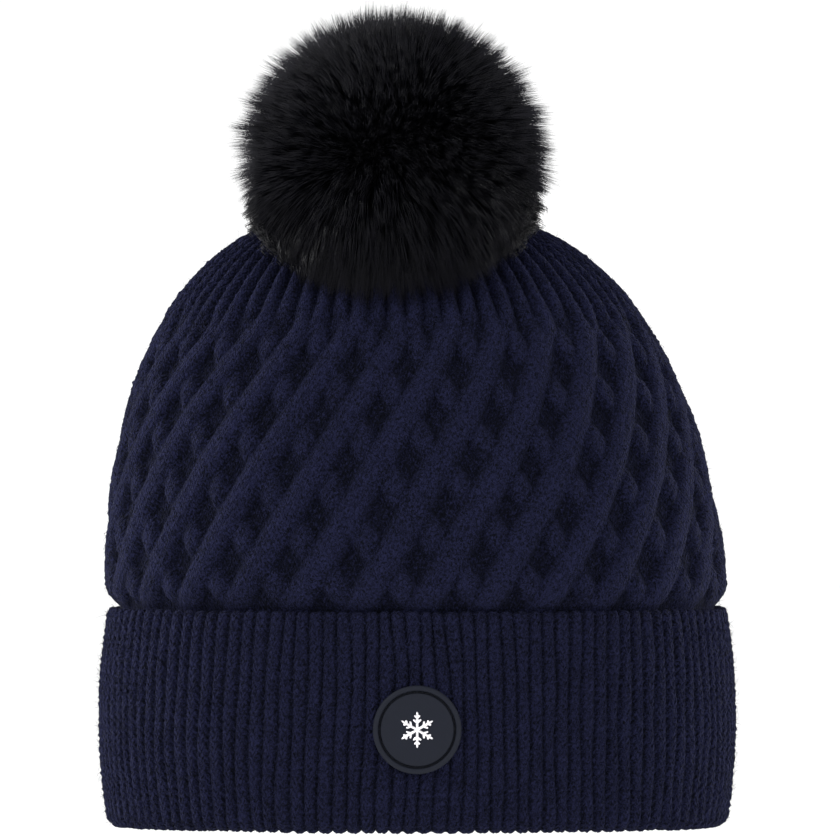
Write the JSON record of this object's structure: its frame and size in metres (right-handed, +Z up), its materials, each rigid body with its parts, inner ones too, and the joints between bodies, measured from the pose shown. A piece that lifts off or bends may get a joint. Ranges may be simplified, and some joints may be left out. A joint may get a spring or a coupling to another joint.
{
  "type": "pom pom beanie",
  "caption": "Knitted beanie with a ribbed turn-up cuff, lattice cable crown, round rubber badge and a large detachable faux-fur pom.",
  "frame": {"origin": "under the middle of the cuff, on the surface that the hat stands on", "axes": "+Z up from the head opening to the pom; -Y out of the badge, the face side; X from ear to ear, +X the wearer's left"},
  "size_m": [0.229, 0.181, 0.295],
  "materials": {
    "cable_knit": "brushed wool-blend cable knit, navy",
    "rib_knit": "brushed wool-blend rib knit, navy",
    "sewing_thread": "spun polyester sewing thread, navy",
    "fleece": "brushed polyester fleece, navy",
    "label_cloth": "woven satin label tape, off-white, blank",
    "felt": "pressed felt, navy",
    "snap_metal": "black-nickel plated steel",
    "badge_rubber": "moulded silicone rubber, dark slate",
    "badge_thread": "bonded sewing thread, black",
    "emblem_silver": "silver transfer, satin",
    "disc_plastic": "moulded polypropylene, black",
    "fur_backing": "knitted fur backing, black",
    "fibre_fill": "polyester fibre fill",
    "fur_pile": "long-pile modacrylic faux fur, black"
  },
  "bodies": {
    "hat": {"crown_shell": "cable_knit", "rib_band": "rib_knit", "back_seam_thread": "sewing_thread", "lining_band": "fleece", "lining_stitches": "sewing_thread", "label_tack": "sewing_thread", "crown_felt": "felt", "crown_gather_thread": "sewing_thread", "snap_stud": "snap_metal", "stud_washer": "snap_metal"},
    "cuff": {"cuff_turn_up": "rib_knit", "badge_disc": "badge_rubber", "badge_stitching": "badge_thread", "badge_emblem": "emblem_silver"},
    "label": {"care_label": "label_cloth"},
    "spring": {"snap_spring": "snap_metal"},
    "socket": {"snap_socket": "snap_metal", "socket_rivet": "snap_metal"},
    "pom": {"pom_base_disc": "disc_plastic", "pom_backing": "fur_backing", "pom_drawstring": "sewing_thread", "pom_stuffing": "fibre_fill", "pom_fur_pile": "fur_pile"}
  },
  "joints": [
    {"name": "cuff_turn_down", "type": "slide", "parent": "hat", "child": "cuff", "axis": [0, 0, -1], "range_m": [0, 0.072]},
    {"name": "label_swing", "type": "hinge", "parent": "hat", "child": "label", "pos_m": [0, 0.07585, 0.062], "axis": [-1, 0, 0], "range_deg": [0, 80]},
    {"name": "pom_unsnap", "type": "slide", "parent": "hat", "child": "spring", "axis": [0, 0, 1], "range_m": [0, 0.06]},
    {"name": "pom_spin", "type": "hinge", "parent": "spring", "child": "socket", "pos_m": [-0.0065, 0, 0.2209], "axis": [0, 0, 1], "continuous": true},
    {"name": "pom_lean", "type": "hinge", "parent": "socket", "child": "pom", "pos_m": [-0.0065, 0, 0.22575], "axis": [1, 0, 0], "range_deg": [-5, 5], "stiffness_Nm_per_rad": 0.12}
  ]
}
